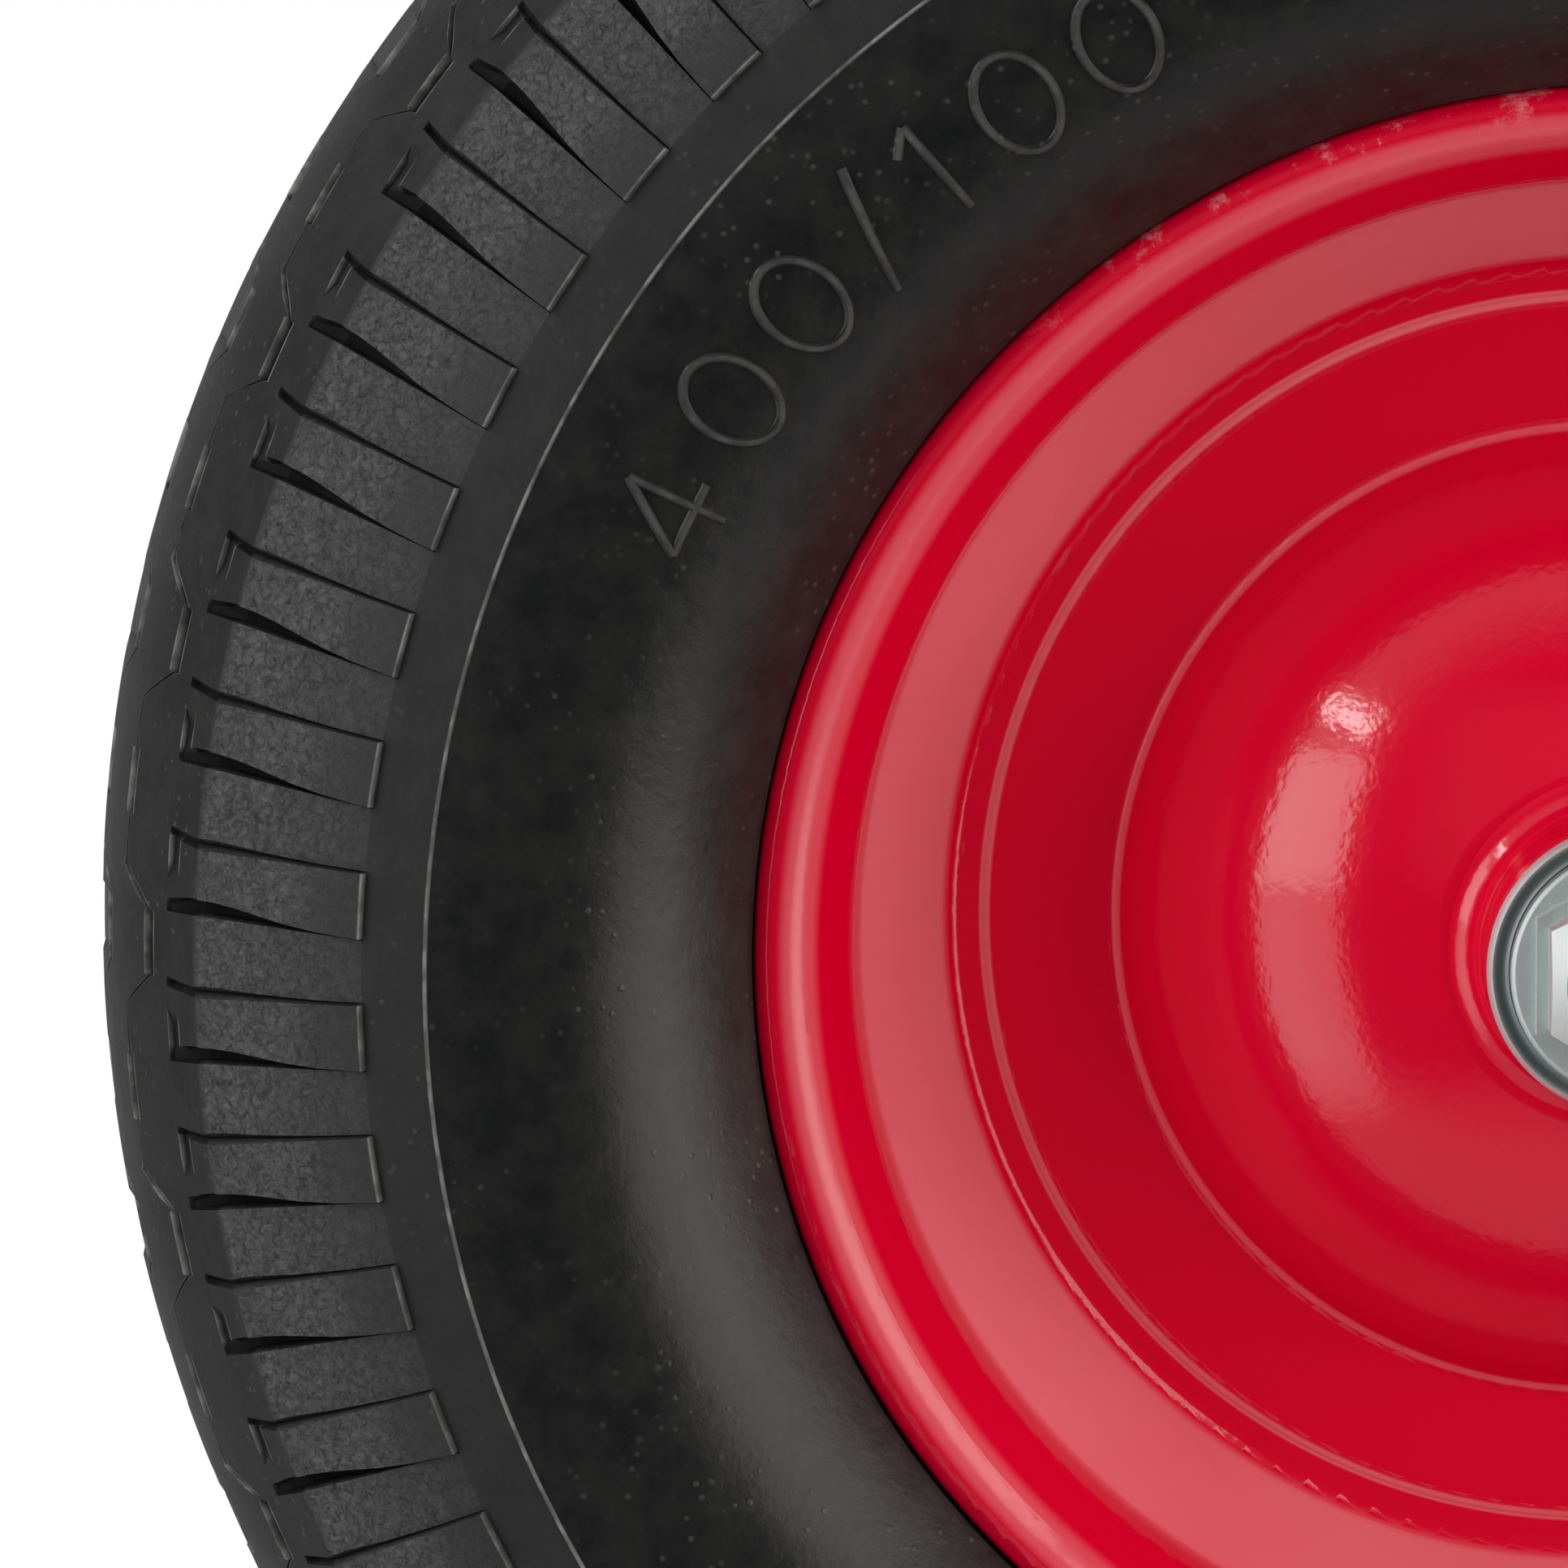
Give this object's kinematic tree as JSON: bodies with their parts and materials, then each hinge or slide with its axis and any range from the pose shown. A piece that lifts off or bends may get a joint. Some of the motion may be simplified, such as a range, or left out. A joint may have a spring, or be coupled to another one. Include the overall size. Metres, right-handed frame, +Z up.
{
  "type": "wheelbarrow wheel",
  "caption": "Solid foam wheelbarrow wheel with a zigzag tread, red pressed-steel rim, ball bearings and a through axle clamped by flanged hex bolts.",
  "frame": {"origin": "centre of the wheel, on the axle and midway between its faces", "axes": "+Y along the axle towards the rear face, +Z up, +X to the right seen from the front; the numbered face looks towards -Y"},
  "size_m": [0.403, 0.1356, 0.403],
  "materials": {
    "foam_rubber": "moulded polyurethane foam tyre, matt with a closed skin",
    "red_paint": "gloss red powder coat on pressed steel",
    "zinc": "bright zinc plate on steel",
    "race_steel": "hardened pressed steel race",
    "cage_steel": "pressed steel cage",
    "ball_steel": "polished bearing balls",
    "shaft_steel": "turned steel bar and tube"
  },
  "bodies": {
    "axle": {"axle_shaft": "shaft_steel", "spacer_sleeve": "shaft_steel", "bearing_cone_front": "race_steel", "bearing_cone_rear": "race_steel", "flange_bolt_front": "zinc", "flange_bolt_rear": "zinc"},
    "wheel": {"tyre": "foam_rubber", "rim_half_front": "red_paint", "rim_half_rear": "red_paint", "hub_tube": "red_paint", "hub_weld_front": "red_paint", "hub_weld_rear": "red_paint", "bearing_cup_front": "zinc", "bearing_cup_rear": "zinc", "bearing_shield_front": "zinc", "bearing_shield_rear": "zinc"},
    "cage_front": {"ball_cage_front": "cage_steel", "balls_front": "ball_steel"},
    "cage_rear": {"ball_cage_rear": "cage_steel", "balls_rear": "ball_steel"}
  },
  "joints": [
    {"name": "wheel_spin", "type": "hinge", "parent": "axle", "child": "wheel", "pos_m": [0, 0, 0], "axis": [0, 1, 0], "continuous": true},
    {"name": "cage_front_spin", "type": "hinge", "parent": "axle", "child": "cage_front", "pos_m": [0, -0.0479, 0], "axis": [0, 1, 0], "continuous": true},
    {"name": "cage_rear_spin", "type": "hinge", "parent": "axle", "child": "cage_rear", "pos_m": [0, 0.0479, 0], "axis": [0, 1, 0], "continuous": true}
  ],
  "couplings": [
    {"joint": "cage_front_spin", "follows": "wheel_spin", "ratio": 0.585},
    {"joint": "cage_rear_spin", "follows": "wheel_spin", "ratio": 0.585}
  ]
}
